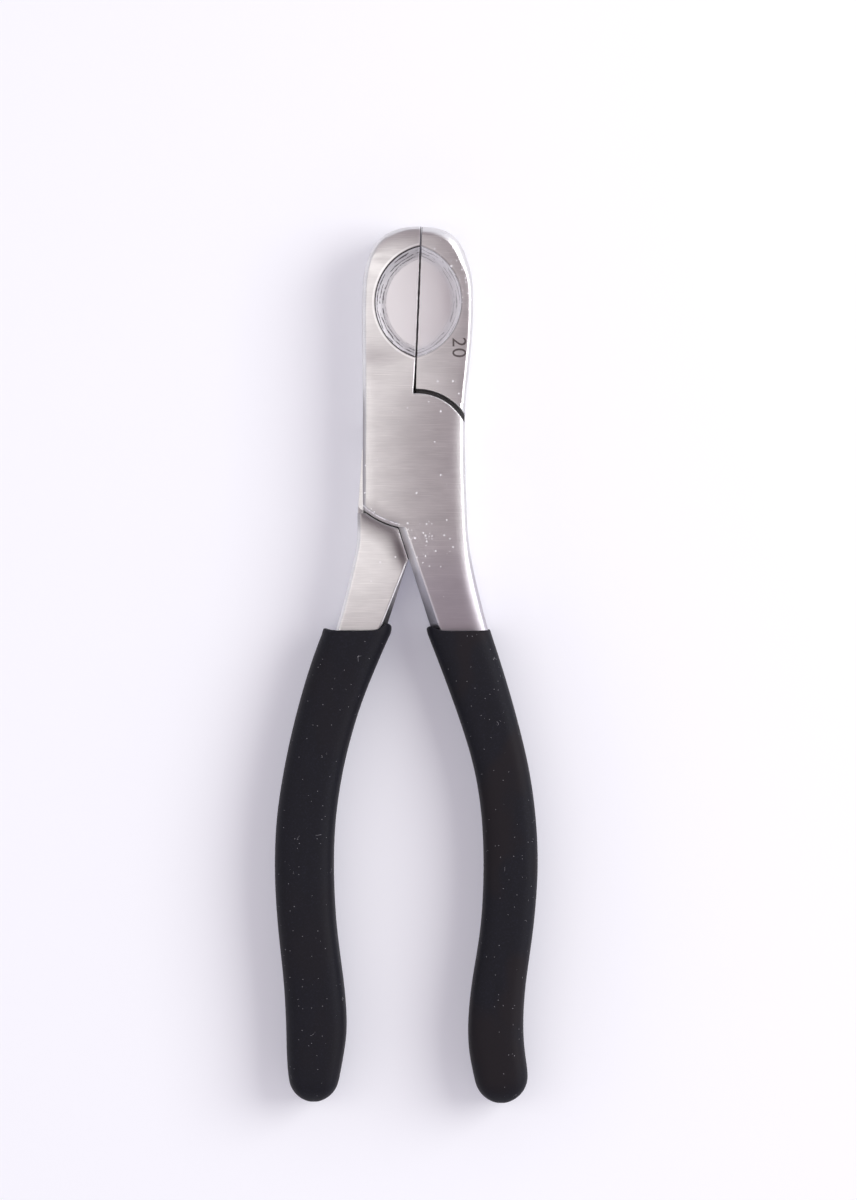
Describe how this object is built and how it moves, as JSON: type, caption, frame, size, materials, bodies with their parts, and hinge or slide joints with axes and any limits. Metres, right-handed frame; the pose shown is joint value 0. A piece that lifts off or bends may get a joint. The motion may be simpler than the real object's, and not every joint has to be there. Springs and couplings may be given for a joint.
{
  "type": "decapper pliers",
  "caption": "Lap-jointed steel pliers whose jaws close round a crimped vial cap: a large round pocket on the front face, a small one on the back, and dipped handle sleeves.",
  "frame": {"origin": "centre of the closed tool's outer box, on the surface it rests on (the back face and the sleeves' backs)", "axes": "+Y from the handles towards the jaws, +Z out of the front face with the larger pocket, +X to the right seen from the front"},
  "size_m": [0.0483, 0.1598, 0.012],
  "materials": {
    "brushed_steel": "fine brushing across the tool's length",
    "rivet_steel": "ground flush with the plates",
    "black_sleeve": "matt dipped vinyl"
  },
  "bodies": {
    "front_side": {"front_half": "brushed_steel", "pivot_rivet": "rivet_steel", "grip_right": "black_sleeve"},
    "back_side": {"back_half": "brushed_steel", "grip_left": "black_sleeve"}
  },
  "joints": [
    {"name": "pivot", "type": "hinge", "parent": "front_side", "child": "back_side", "pos_m": [0.00186, 0.03974, 0.006], "axis": [0, 0, -1], "range_deg": [0, 22]}
  ]
}
